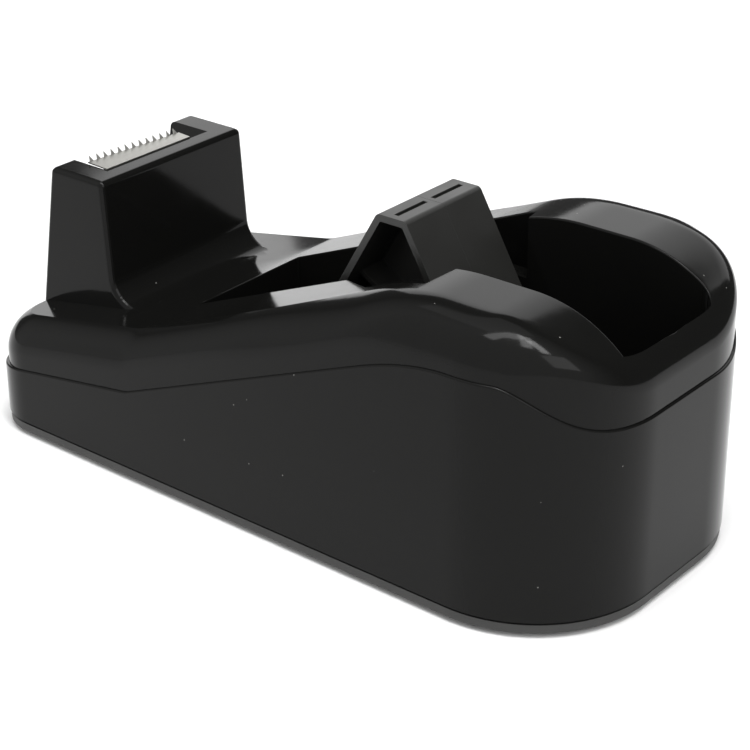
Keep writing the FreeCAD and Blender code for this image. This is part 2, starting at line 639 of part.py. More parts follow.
# ---------------------------------------------------------------- blade
blade = new_body("blade")
BLADE_WIDTH = at(slot_width=1, blade_gap=-2, blade_short=-1)
WALL_X = dict(body_length=-0.5, tower_rear_top=1, rear_band=-1)
profile = sketch_on(blade, "XZ_Plane", "blade_profile", at(blade_short=0.5))
loop(profile, [(at(**WALL_X, blade_sheet=-1), at(0.3, tower_top=1, blade_leg=-1), None),
               (at(-0.05, **WALL_X), at(0.3, tower_top=1, blade_leg=-1), None),
               (at(-0.05, **WALL_X), at(0.3, tower_top=1), None),
               (at(**WALL_X, blade_reach=-1), at(0.3, tower_top=1, blade_rise=1), None),
               (at(**WALL_X, blade_reach=-1), at(0.3, tower_top=1, blade_rise=1, blade_sheet=-1), None),
               (at(**WALL_X, blade_sheet=-1), at(0.45, tower_top=1, blade_sheet=-1), None)])
grow(blade, "Pad", profile, BLADE_WIDTH, symmetric=True)
TEETH = int(BLADE_WIDTH[0] / SIZES["tooth_pitch"])
gaps = sketch_on(blade, "XY_Plane", "tooth_gaps", at(tower_top=1))
for index in range(TEETH + 1):
    middle = (index - TEETH / 2) * SIZES["tooth_pitch"]
    step = index - TEETH / 2
    root = at(**WALL_X, blade_reach=-1, tooth_depth=1)
    tip = at(-0.2, **WALL_X, blade_reach=-1)
    if abs(middle) + SIZES["tooth_pitch"] * 0.45 > BLADE_WIDTH[0] / 2 - 0.2:
        continue
    loop(gaps, [(tip, at(blade_short=-0.5, tooth_pitch=step + 0.44), None),
                (root, at(blade_short=-0.5, tooth_pitch=step), None),
                (tip, at(blade_short=-0.5, tooth_pitch=step - 0.44), None)])
grow(blade, "Pocket", gaps, (12.0, None), symmetric=True)
holes = sketch_on(blade, "YZ_Plane", "blade_holes", at(**WALL_X))
for side in (-1, 1):
    ring(holes, across(0.3 * side), CLAMP_Z, at(2.8))
grow(blade, "Pocket", holes, (4.0, None), symmetric=True)

clamp = new_body("blade_clamp")
grow(clamp, "Pad", rectangle(
    clamp, "XY_Plane", "clamp_plan", at(**WALL_X, blade_sheet=-1, clamp_depth=-1),
    at(**WALL_X, blade_sheet=-1), across(-0.5, clamp_inset=1), across(0.5, clamp_inset=-1),
    lift=at(-1.6, tower_top=1, clamp_height=-1)), at(clamp_height=1))
clamp_holes = sketch_on(clamp, "YZ_Plane", "clamp_holes", at(**WALL_X))
for side in (-1, 1):
    ring(clamp_holes, across(0.3 * side), CLAMP_Z, at(2.8))
grow(clamp, "Pocket", clamp_holes, (30.0, None), symmetric=True)

clamp_list = []
for side in (-1, 1):
    head = doc.addObject("Part::Cylinder", "clamp_screw_head")
    head.Radius, head.Height = 2.4, 1.6
    shank = doc.addObject("Part::Cylinder", "clamp_screw_shank")
    shank.Radius, shank.Height = 1.25, 11.0
    recess = doc.addObject("Part::Box", "clamp_screw_recess")
    recess.Length, recess.Width, recess.Height = 1.8, 1.8, 0.9
    front = "dims.tower_rear_top - dims.body_length / 2 - dims.rear_band - dims.blade_sheet - dims.clamp_depth"
    for item, back, shift in ((head, 1.6, 0.0), (shank, 0.8, 0.0), (recess, 1.7, 0.9)):
        item.Placement = FreeCAD.Placement(FreeCAD.Vector(), FreeCAD.Rotation(FreeCAD.Vector(0, 1, 0), 90))
        item.setExpression("Placement.Base.x", "%s - %r" % (front, back))
        item.setExpression("Placement.Base.y", "%s - %r" % (across(0.3 * side)[1], shift))
        item.setExpression("Placement.Base.z", "dims.tower_top - 7 + %r" % shift)
    both = doc.addObject("Part::Fuse", "clamp_screw_blank")
    both.Base, both.Tool = head, shank
    done = doc.addObject("Part::Cut", "clamp_screw")
    done.Base, done.Tool = both, recess
    clamp_list.append(done)
clamp_screws = doc.addObject("Part::Compound", "clamp_screws")
clamp_screws.Label = "clamp_screws"
clamp_screws.Links = clamp_list
doc.recompute()

# ---------------------------------------------------------------- check and write
NODES = [housing, plate, foot_pad, base_screws, weights[0], weights[1], hub_near, hub_far, axle,
         collars[0], collars[1], blade, clamp, clamp_screws]
for item in doc.Objects:
    for word in ("Invalid", "Error"):
        if word in item.State:
            raise RuntimeError("%s is %s" % (item.Label, word))
for node in NODES:
    if node.Shape.isNull() or not node.Shape.isValid():
        raise RuntimeError(node.Label + " has no sound shape")
    node.Shape.exportStep("parts/%s.step" % node.Label)
    print(node.Label, len(node.Shape.Solids), round(node.Shape.Volume, 1), node.Shape.BoundBox)
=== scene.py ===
"""A weighted desktop tape dispenser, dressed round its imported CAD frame."""
import math

import bmesh
import bpy
from bpy.props import FloatProperty, FloatVectorProperty, PointerProperty
from mathutils import Matrix, Vector


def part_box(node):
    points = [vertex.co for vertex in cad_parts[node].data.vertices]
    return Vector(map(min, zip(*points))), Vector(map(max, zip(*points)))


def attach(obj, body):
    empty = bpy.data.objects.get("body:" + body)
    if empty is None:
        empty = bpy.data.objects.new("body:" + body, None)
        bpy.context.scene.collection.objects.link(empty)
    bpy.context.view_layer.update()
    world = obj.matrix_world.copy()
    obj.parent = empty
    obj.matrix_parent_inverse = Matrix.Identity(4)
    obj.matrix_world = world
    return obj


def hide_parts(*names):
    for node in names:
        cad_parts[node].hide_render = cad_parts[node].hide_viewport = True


bl_info = {
    "name": "Desktop Tape Dispenser",
    "version": (1, 0, 0),
    "blender": (4, 5, 0),
    "location": "3D View > Sidebar > Dispenser",
    "description": "Builds the moulded housing, hub, blade and base of a desktop tape dispenser",
    "category": "Add Mesh",
}

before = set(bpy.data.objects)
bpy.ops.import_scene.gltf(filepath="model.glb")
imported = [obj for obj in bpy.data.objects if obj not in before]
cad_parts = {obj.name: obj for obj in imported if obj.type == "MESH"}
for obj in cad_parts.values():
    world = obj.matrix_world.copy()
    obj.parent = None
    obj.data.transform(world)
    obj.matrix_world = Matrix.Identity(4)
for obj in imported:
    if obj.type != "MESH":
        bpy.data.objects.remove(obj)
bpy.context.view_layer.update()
MM = 0.001
HOUSING_LOW, HOUSING_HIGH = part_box("housing")
AXLE_LOW, AXLE_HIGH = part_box("hub_axle")
BLADE_LOW, BLADE_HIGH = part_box("blade")
AXIS_X = (AXLE_LOW.x + AXLE_HIGH.x) / 2
AXIS_Z = (AXLE_LOW.z + AXLE_HIGH.z) / 2
AXLE_RADIUS = (AXLE_HIGH.x - AXLE_LOW.x) / 2


def length(name, value, description):
    """A size given in millimetres and kept in metres."""
    return FloatProperty(name=name, description=description, default=value * MM, unit="LENGTH", precision=5)


def slope(name, value, description):
    """A rise over run."""
    return FloatProperty(name=name, description=description, default=value, precision=4)


def tint(name, value, description):
    """A linear colour."""
    return FloatVectorProperty(name=name, description=description, default=value, size=3, subtype="COLOR",
                               min=0.0, max=1.0)


class HousingSizes(bpy.types.PropertyGroup):
    """Sizes of the one-piece moulding."""
    front_half: length("Front Half Width", 61.3, "Half width of the plan outline at the front end")
    rear_half: length("Rear Half Width", 63.5, "Half width of the plan outline at the rear end")
    front_corner: length("Front Corner", 22.0, "Plan radius of the front corners")
    rear_corner: length("Rear Corner", 46.0, "Plan radius of the rear corners")
    kink_x: length("Kink Position", -57.0, "Where the front platform turns into the ramp")
    kink_z: length("Kink Height", 56.5, "Height of the top where the ramp starts")
    kink_soft: length("Kink Softness", 1.2, "How softly the platform turns into the ramp")
    platform_slope: slope("Platform Slope", 0.1935, "Rise of the front platform to the rear")
    crest_x: length("Crest Corner", 58.9, "Where the ramp line would meet the crest height")
    crest_round: length("Crest Radius", 76.0, "Radius from ramp to crest")
    rear_centre: length("Rear Arc Start", 92.0, "Where the crest starts to fall to the rear")
    rear_round: length("Rear Radius", 50.0, "Radius of the falling rear top")
    ledge_step: length("Ledge Step", 0.8, "How far the lower wall stands proud of the upper wall")
    front_step: length("Front Step", 1.4, "How much deeper the ledge is across the front end")
    ledge_kink_x: length("Ledge Kink Position", -56.0, "Where the ledge turns up")
    ledge_kink_z: length("Ledge Kink Height", 36.0, "Height of the ledge where it turns up")
    ledge_front_slope: slope("Ledge Front Slope", 0.158, "Rise of the ledge in front of its kink")
    ledge_slope: slope("Ledge Slope", 0.41, "Rise of the ledge behind its kink")
    ledge_arc_x: length("Ledge Arc Start", 46.3, "Where the ledge starts to level out")
    ledge_arc: length("Ledge Arc Radius", 100.0, "Radius on which the ledge levels out")
    ledge_arc_ease: length("Ledge Arc Ease", 1.5, "How far the arc's foot is lowered to meet the slope")
    ledge_peak_x: length("Ledge Peak Position", 86.0, "Where the ledge is highest")
    ledge_peak_z: length("Ledge Peak Height", 87.6, "Height of the ledge at its peak")
    ledge_fall_x: length("Ledge Fall Start", 100.0, "Where the ledge starts to fall to the rear")
    ledge_fall: length("Ledge Fall", 16.5, "How far the ledge falls to the rear end")
    ledge_round: length("Ledge Radius", 0.75, "Rounding of the ledge's outer edge")
    front_shoulder: length("Front Shoulder", 9.5, "Shoulder radius round the platform and ramp")
    crest_shoulder: length("Crest Shoulder", 15.5, "Shoulder radius beside the crest")
    rear_shoulder: length("Rear Shoulder", 5.0, "Shoulder radius round the rear end")
    lip_angle: FloatProperty(name="Lip Angle", description="Fall of the shoulder where it leaves the top",
                             default=math.radians(19.0), unit="ROTATION")
    rim_round: length("Rim Radius", 0.7, "Rounding of the tape well's rim")
    well_front: length("Well Front", -51.8, "Front edge of the tape well")
    well_rear: length("Well Rear", 126.4, "Rear edge of the tape well")
    well_half: length("Well Half Width", 26.5, "Half width of the tape well")
    well_floor: length("Well Floor", 9.0, "Height of the floor of the tape well")
    well_near_corner: length("Well Near Corner", 0.8, "Plan radius of the well's near rear corner")
    well_far_corner: length("Well Far Corner", 7.0, "Plan radius of the well's far rear corner")
    grip_floor: length("Grip Floor", 79.0, "Height of the floor of the finger recesses")
    near_recess_start: length("Near Recess Start", 13.2, "How far before the axle the near recess starts")
    near_recess_full: length("Near Recess Slant", 6.8, "How far behind the axle it is at full depth")
    near_recess_end: length("Near Recess End", 31.8, "How far behind the axle the near recess ends")
    near_recess_draft: length("Near Recess Draft", 0.8, "Lean of the near recess's rear end")
    far_recess_half: length("Far Recess Half", 21.8, "Half length of the far recess")
    far_recess_draft: length("Far Recess Draft", 1.8, "Lean of the far recess's ends")
    near_recess: length("Near Recess", 15.0, "Depth of the finger recess in the near wall")
    far_recess: length("Far Recess", 7.0, "Depth of the finger recess in the far wall")
    tower_top: length("Tower Height", 98.5, "Height of the top of the blade tower")
    tower_half: length("Tower Half Width", 36.7, "Half width of the tower at its top")
    tower_round: length("Tower Corner", 2.2, "Radius of the tower's edges")
    tower_front: length("Tower Front", -114.3, "Front of the tower at its top")
    tower_back: length("Tower Back", -87.9, "Back of the tower at its top")
    tower_front_lean: slope("Front Lean", 0.165, "Slope of the tower's front")
    tower_back_lean: slope("Back Lean", 0.07, "Slope of the tower's back")
    tower_side_lean: slope("Side Lean", 0.005, "Slope of the tower's sides")
    tower_foot_curve: length("Tower Foot Curve", 10.0, "Radius of the hollow curve behind the tower")
    tooth_pitch: length("Tooth Pitch", 3.3, "Spacing of the blade's teeth")
    blade_skew: length("Blade Skew", 4.0, "How much further back the teeth lie at the blade's far end")
    seat_fit: length("Seat Fit", 0.06, "Play round the axle in its seats")
    slot_half: length("Slot Half Width", 26.0, "Half width of the blade slot")
    slot_rear: length("Slot Rear", -95.5, "Rear wall of the blade slot")
    slot_floor: length("Slot Floor", 80.0, "Height of the floor of the blade slot")


class FinishColours(bpy.types.PropertyGroup):
    """Colours of the finishes."""
    housing: tint("Housing", (0.0046, 0.0046, 0.0043), "Glossy black moulding")
    hub: tint("Hub", (0.014, 0.014, 0.013), "Satin black hub")
    base: tint("Base", (0.026, 0.026, 0.025), "Matte black base plate")
    steel: tint("Blade Steel", (0.43, 0.425, 0.4), "Rolled steel of the blade")
    floor: tint("Floor", (0.86, 0.86, 0.86), "Pale studio floor")


# ------------------------------------------------------------------ node helpers
class Nodes:
    """A small hand for placing and joining shader nodes."""

    def __init__(self, tree):
        self.tree = tree

    def add(self, kind, values=None, **settings):
        """A new node with its input values and its settings."""
        node = self.tree.nodes.new(kind)
        for key, value in settings.items():
            setattr(node, key, value)
        for key, value in (values or {}).items():
            node.inputs[key].default_value = value
        return node

    def join(self, out, into):
        self.tree.links.new(out, into)


def new_group(name, inputs, outputs):
    """A shader group with named sockets: (name, socket type, default)."""
    tree = bpy.data.node_groups.new(name, "ShaderNodeTree")
    for label, kind, default in inputs:
        socket = tree.interface.new_socket(label, in_out="INPUT", socket_type=kind)
        if default is not None:
            socket.default_value = default
    for label, kind in outputs:
        tree.interface.new_socket(label, in_out="OUTPUT", socket_type=kind)
    hand = Nodes(tree)
    return tree, hand, hand.add("NodeGroupInput"), hand.add("NodeGroupOutput")


def mould_surface_group():
    """Slow ripple, faint flow haze and settled dust of a polished moulding."""
    tree, hand, given, out = new_group(
        "mould_surface",
        [("Vector", "NodeSocketVector", None), ("Base Roughness", "NodeSocketFloat", 0.1),
         ("Haze", "NodeSocketFloat", 0.04), ("Dust", "NodeSocketFloat", 0.5),
         ("Colour", "NodeSocketColor", (0.01, 0.01, 0.01, 1)),
         ("Dust Colour", "NodeSocketColor", (0.3, 0.3, 0.28, 1))],
        [("Colour", "NodeSocketColor"), ("Roughness", "NodeSocketFloat"), ("Height", "NodeSocketFloat")])
    ripple = hand.add("ShaderNodeTexNoise", {"Scale": 26.0, "Detail": 2.0, "Roughness": 0.4})
    haze = hand.add("ShaderNodeTexNoise", {"Scale": 60.0, "Detail": 5.0, "Roughness": 0.6})
    grain = hand.add("ShaderNodeTexNoise", {"Scale": 2600.0, "Detail": 1.0})
    specks = hand.add("ShaderNodeTexVoronoi", {"Scale": 330.0, "Randomness": 1.0}, feature="F1")
    for node in (ripple, haze, grain, specks):
        hand.join(given.outputs["Vector"], node.inputs["Vector"])
    near = hand.add("ShaderNodeMath", {1: 0.075}, operation="LESS_THAN")
    hand.join(specks.outputs["Distance"], near.inputs[0])
    pick = hand.add("ShaderNodeSeparateColor")
    hand.join(specks.outputs["Color"], pick.inputs["Color"])
    some = hand.add("ShaderNodeMath", {1: 0.965}, operation="GREATER_THAN")
    hand.join(pick.outputs["Red"], some.inputs[0])
    dust = hand.add("ShaderNodeMath", operation="MULTIPLY")
    hand.join(near.outputs[0], dust.inputs[0])
    hand.join(some.outputs[0], dust.inputs[1])
    amount = hand.add("ShaderNodeMath", operation="MULTIPLY")
    hand.join(dust.outputs[0], amount.inputs[0])
    hand.join(given.outputs["Dust"], amount.inputs[1])
    mix = hand.add("ShaderNodeMix", data_type="RGBA")
    hand.join(amount.outputs[0], mix.inputs["Factor"])
    hand.join(given.outputs["Colour"], mix.inputs["A"])
    hand.join(given.outputs["Dust Colour"], mix.inputs["B"])
    hand.join(mix.outputs["Result"], out.inputs["Colour"])
    spread = hand.add("ShaderNodeMapRange",
                      {"From Min": 0.35, "From Max": 0.7, "To Min": 0.0, "To Max": 1.0})
    hand.join(haze.outputs["Fac"], spread.inputs["Value"])
    hazed = hand.add("ShaderNodeMath", operation="MULTIPLY_ADD")
    hand.join(spread.outputs["Result"], hazed.inputs[0])
    hand.join(given.outputs["Haze"], hazed.inputs[1])
    hand.join(given.outputs["Base Roughness"], hazed.inputs[2])
    rough = hand.add("ShaderNodeMath", {1: 0.5}, operation="MULTIPLY_ADD")
    hand.join(amount.outputs[0], rough.inputs[0])
    hand.join(hazed.outputs[0], rough.inputs[2])
    hand.join(rough.outputs[0], out.inputs["Roughness"])
    fine = hand.add("ShaderNodeMath", {1: 0.02}, operation="MULTIPLY")
    hand.join(grain.outputs["Fac"], fine.inputs[0])
    height = hand.add("ShaderNodeMath", operation="ADD")
    hand.join(ripple.outputs["Fac"], height.inputs[0])
    hand.join(fine.outputs[0], height.inputs[1])
    hand.join(height.outputs[0], out.inputs["Height"])
    return tree


def steel_surface_group():
    """Drawn lines and a faint stain for sheet steel."""
    tree, hand, given, out = new_group(
        "steel_surface",
        [("Vector", "NodeSocketVector", None), ("Colour", "NodeSocketColor", (0.6, 0.6, 0.6, 1)),
         ("Dark Colour", "NodeSocketColor", (0.35, 0.34, 0.33, 1)),
         ("Base Roughness", "NodeSocketFloat", 0.25)],
        [("Colour", "NodeSocketColor"), ("Roughness", "NodeSocketFloat"), ("Height", "NodeSocketFloat")])
    stretch = hand.add("ShaderNodeMapping", {"Scale": (2600.0, 60.0, 2600.0)})
    hand.join(given.outputs["Vector"], stretch.inputs["Vector"])
    lines = hand.add("ShaderNodeTexNoise", {"Scale": 1.0, "Detail": 3.0, "Roughness": 0.6})
    hand.join(stretch.outputs["Vector"], lines.inputs["Vector"])
    stain = hand.add("ShaderNodeTexNoise", {"Scale": 90.0, "Detail": 4.0})
    hand.join(given.outputs["Vector"], stain.inputs["Vector"])
    limit = hand.add("ShaderNodeMapRange", {"From Min": 0.5, "From Max": 0.75, "To Min": 0.0, "To Max": 0.35})
    hand.join(stain.outputs["Fac"], limit.inputs["Value"])
    mix = hand.add("ShaderNodeMix", data_type="RGBA")
    hand.join(limit.outputs["Result"], mix.inputs["Factor"])
    hand.join(given.outputs["Colour"], mix.inputs["A"])
    hand.join(given.outputs["Dark Colour"], mix.inputs["B"])
    hand.join(mix.outputs["Result"], out.inputs["Colour"])
    rough = hand.add("ShaderNodeMath", {1: 0.16}, operation="MULTIPLY_ADD")
    hand.join(lines.outputs["Fac"], rough.inputs[0])
    hand.join(given.outputs["Base Roughness"], rough.inputs[2])
    hand.join(rough.outputs[0], out.inputs["Roughness"])
    hand.join(lines.outputs["Fac"], out.inputs["Height"])
    return tree


def finish(name, group, values, shader, bump_strength, bump_distance):
    """A material: one surface group feeding a Principled shader."""
    material = bpy.data.materials.new(name)
    material.use_nodes = True
    tree = material.node_tree
    tree.nodes.clear()
    hand = Nodes(tree)
    place = hand.add("ShaderNodeTexCoord")
    surface = hand.add("ShaderNodeGroup")
    surface.node_tree = group
    for key, value in values.items():
        surface.inputs[key].default_value = value
    hand.join(place.outputs["Object"], surface.inputs["Vector"])
    principled = hand.add("ShaderNodeBsdfPrincipled", shader)
    hand.join(surface.outputs["Colour"], principled.inputs["Base Color"])
    hand.join(surface.outputs["Roughness"], principled.inputs["Roughness"])
    bump = hand.add("ShaderNodeBump", {"Strength": bump_strength, "Distance": bump_distance})
    hand.join(surface.outputs["Height"], bump.inputs["Height"])
    hand.join(bump.outputs["Normal"], principled.inputs["Normal"])
    output = hand.add("ShaderNodeOutputMaterial")
    hand.join(principled.outputs["BSDF"], output.inputs["Surface"])
    return material


def solid(colour):
    return (*colour, 1.0)


FINISHES = {}


def make_finishes(colours):
    """All materials, by the name of what they finish."""
    mould = mould_surface_group()
    steel = steel_surface_group()
    FINISHES["housing"] = finish(
        "glossy_black_moulding", mould,
        {"Colour": solid(colours.housing), "Base Roughness": 0.09, "Haze": 0.05, "Dust": 0.6},
        {"IOR": 1.22}, 0.05, 0.002)
    FINISHES["hub"] = finish(
        "satin_black_hub", mould,
        {"Colour": solid(colours.hub), "Base Roughness": 0.3, "Haze": 0.08, "Dust": 0.5},
        {"IOR": 1.5}, 0.1, 0.001)
    FINISHES["base"] = finish(
        "matte_black_base", mould,
        {"Colour": solid(colours.base), "Base Roughness": 0.5, "Haze": 0.1, "Dust": 0.3},
        {"IOR": 1.48}, 0.2, 0.001)
    FINISHES["small"] = finish(
        "matte_black_fittings", mould,
        {"Colour": (0.03, 0.03, 0.03, 1), "Base Roughness": 0.42, "Haze": 0.1, "Dust": 0.2},
        {"IOR": 1.48}, 0.2, 0.001)
    FINISHES["rubber"] = finish(
        "foam_rubber", mould,
        {"Colour": (0.02, 0.02, 0.02, 1), "Base Roughness": 0.85, "Haze": 0.1, "Dust": 0.2},
        {"IOR": 1.45, "Specular IOR Level": 0.3}, 0.6, 0.001)
    FINISHES["iron"] = finish(
        "rough_cast_iron", mould,
        {"Colour": (0.09, 0.088, 0.085, 1), "Base Roughness": 0.6, "Haze": 0.2, "Dust": 0.2},
        {"Metallic": 0.9}, 0.8, 0.003)
    FINISHES["blade"] = finish(
        "rolled_blade_steel", steel,
        {"Colour": solid(colours.steel), "Dark Colour": (0.36, 0.35, 0.34, 1), "Base Roughness": 0.3},
        {"Metallic": 1.0}, 0.15, 0.0002)
    FINISHES["turned"] = finish(
        "turned_steel", steel,
        {"Colour": (0.5, 0.5, 0.5, 1), "Dark Colour": (0.3, 0.3, 0.3, 1), "Base Roughness": 0.2},
        {"Metallic": 1.0}, 0.15, 0.0002)


# ------------------------------------------------------------------ mesh helpers
def piece(name, bm, finish_name, body, slot, *replaced, sharp=None):
    """Turns a bmesh into a finished object on its body. Edges steeper than sharp stay hard."""
    mesh = bpy.data.meshes.new(name)
    for face in bm.faces:
        face.smooth = True
    if sharp is not None:
        for edge in bm.edges:
            if len(edge.link_faces) == 2:
                edge.smooth = edge.calc_face_angle(0.0) < sharp
    bm.to_mesh(mesh)
    bm.free()
    item = bpy.data.objects.new(name, mesh)
    bpy.context.scene.collection.objects.link(item)
    mesh.materials.append(FINISHES[finish_name])
    even = item.modifiers.new("even_normals", "WEIGHTED_NORMAL")
    even.keep_sharp = True
    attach(item, body)
    if replaced:
        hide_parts(*replaced)
    return item


def dress(node, finish_name):
    """Gives a CAD node that is shown as it is its finish."""
    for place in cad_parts[node].material_slots:
        place.material = FINISHES[finish_name]


HARD_EDGE = math.radians(30)


def softened(name, node, finish_name, body, slot, width):
    """A copy of a CAD node with its hard edges eased."""
    bm = bmesh.new()
    bm.from_mesh(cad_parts[node].data)
    bmesh.ops.remove_doubles(bm, verts=bm.verts, dist=2e-6)
    bmesh.ops.dissolve_limit(bm, angle_limit=math.radians(1.0), verts=bm.verts, edges=bm.edges)
    hard = [e for e in bm.edges if len(e.link_faces) == 2 and e.calc_face_angle(0.0) > HARD_EDGE]
    bmesh.ops.bevel(bm, geom=hard, offset=width, offset_type="OFFSET", segments=2, profile=0.5,
                    affect="EDGES", clamp_overlap=True, material=-1)
    return piece(name, bm, finish_name, body, slot, node, sharp=math.radians(35))


def rounded(points, radii, segments):
    """A closed run of 2D points with its corners rounded; a radius of 0 leaves a corner."""
    out = []
    count = len(points)
    for i, (x, y) in enumerate(points):
        radius = radii[i]
        if not radius:
            out.append((x, y))
            continue
        here = Vector((x, y))
        before = (here - Vector(points[i - 1])).normalized()
        after = (Vector(points[(i + 1) % count]) - here).normalized()
        turn = before.angle_signed(after)
        cut = radius * math.tan(abs(turn) / 2)
        start, end = here - before * cut, here + after * cut
        side = 1.0 if before.cross(after) > 0 else -1.0
        centre = start + Vector((-before.y, before.x)) * side * radius
        first = math.atan2(start.y - centre.y, start.x - centre.x)
        sweep = side * abs(turn)
        for k in range(segments + 1):
            angle = first + sweep * k / segments
            out.append((centre.x + radius * math.cos(angle), centre.y + radius * math.sin(angle)))
    return out


# ------------------------------------------------------------------ housing shape
# Cuts along each stretch of the plan, from the front middle to the rear middle.
NOSE_CUTS, CORNER_CUTS, FLANK_CUTS, BEND_CUTS, TAIL_CUTS = 14, 16, 96, 40, 8
# Steps of one cut: over the shoulder, across the top, round a small edge, and round a corner of the well.
ARC_STEPS, TOP_STEPS, EASE_STEPS, RIM_STEPS = 16, 9, 8, 8
# Where one shape blends into the next along the body.
CREST_BLEND = (-20 * MM, 75 * MM)
TAIL_BLEND = (98 * MM, 131 * MM)
LIP_FADE = (5 * MM, 60 * MM)
TAIL_START = 120.0 * MM


class Shell:
    """The heights and the plan of the moulding."""

    def __init__(self, sizes):
        self.s = sizes
        self.front_x, self.rear_x = HOUSING_LOW.x, HOUSING_HIGH.x
        self.bottom, self.crest = HOUSING_LOW.z, HOUSING_HIGH.z
        self.spread = (sizes.rear_half - sizes.front_half) / (self.rear_x - self.front_x)
        self.ramp = (self.crest - sizes.kink_z) / (sizes.crest_x - sizes.kink_x)

    def platform(self, x):
        """Height of the flat platform carried on to x."""
        return self.s.kink_z + self.s.platform_slope * (x - self.s.kink_x)

    def side(self, x):
        """Half width of the plan outline at x, corners left out."""
        return self.s.front_half + self.spread * (x - self.front_x)

    def top(self, x):
        """Height of the top surface."""
        s = self.s
        reach = s.crest_round * math.tan(math.atan(self.ramp) / 2)
        crest_start = s.crest_x + reach
        if x < s.crest_x - reach:
            off = x - s.kink_x
            flat, steep = s.platform_slope * off, self.ramp * off
            bend = (self.ramp - s.platform_slope) / 2 * math.hypot(off, s.kink_soft)
            return s.kink_z + (flat + steep) / 2 + bend
        if x < crest_start:
            back = crest_start - x
            return self.crest - s.crest_round + math.sqrt(s.crest_round ** 2 - back ** 2)
        if x < s.rear_centre:
            return self.crest
        over = min(x - s.rear_centre, s.rear_round * 0.95)
        return self.crest - s.rear_round + math.sqrt(s.rear_round ** 2 - over ** 2)

    def top_slope(self, x, step=0.2 * MM):
        """Rise over run of the top surface at x."""
        return (self.top(x + step) - self.top(x - step)) / (2 * step)

    def ledge(self, x):
        """Height of the ledge between lower and upper wall."""
        s = self.s
        if x < s.ledge_arc_x:
            rise = s.ledge_front_slope if x < s.ledge_kink_x else s.ledge_slope
            return s.ledge_kink_z + rise * (x - s.ledge_kink_x)
        if x < s.ledge_peak_x:
            back = s.ledge_peak_x - x
            run = s.ledge_peak_x - s.ledge_arc_x
            drop = s.ledge_arc - math.sqrt(s.ledge_arc ** 2 - back ** 2)
            return s.ledge_peak_z - drop - s.ledge_arc_ease * smooth_step(0.0, run, back)
        return s.ledge_peak_z - s.ledge_fall * smooth_step(s.ledge_fall_x, self.rear_x, x)

    def half_plan(self):
        """Points and outward directions down the near half, from the front middle to the rear middle."""
        s = self.s
        lean = math.atan(self.spread)
        front = Vector((self.front_x + s.front_corner,
                        -(self.side(self.front_x + s.front_corner)) + s.front_corner / math.cos(lean)))
        rear = Vector((self.rear_x - s.rear_corner,
                       -(self.side(self.rear_x - s.rear_corner)) + s.rear_corner / math.cos(lean)))
        edge_angle = math.radians(270) - lean
        run = []
        for k in range(NOSE_CUTS):
            run.append((Vector((self.front_x, front.y * k / NOSE_CUTS)), Vector((-1, 0))))
        for k in range(CORNER_CUTS):
            angle = math.pi + (edge_angle - math.pi) * k / CORNER_CUTS
            out = Vector((math.cos(angle), math.sin(angle)))
            run.append((front + out * s.front_corner, out))
        out = Vector((math.cos(edge_angle), math.sin(edge_angle)))
        start, end = front + out * s.front_corner, rear + out * s.rear_corner
        for k in range(FLANK_CUTS):
            run.append((start.lerp(end, k / FLANK_CUTS), out.copy()))
        for k in range(BEND_CUTS):
            angle = edge_angle + (math.tau - edge_angle) * k / BEND_CUTS
            out = Vector((math.cos(angle), math.sin(angle)))
            run.append((rear + out * s.rear_corner, out))
        for k in range(TAIL_CUTS + 1):
            run.append((Vector((self.rear_x, rear.y * (1 - k / TAIL_CUTS))), Vector((1, 0))))
        return run


def smooth_step(low, high, x):
    """0 below low, 1 above high, and a smooth rise between them."""
    t = min(max((x - low) / (high - low), 0.0), 1.0)
    return t * t * (3 - 2 * t)


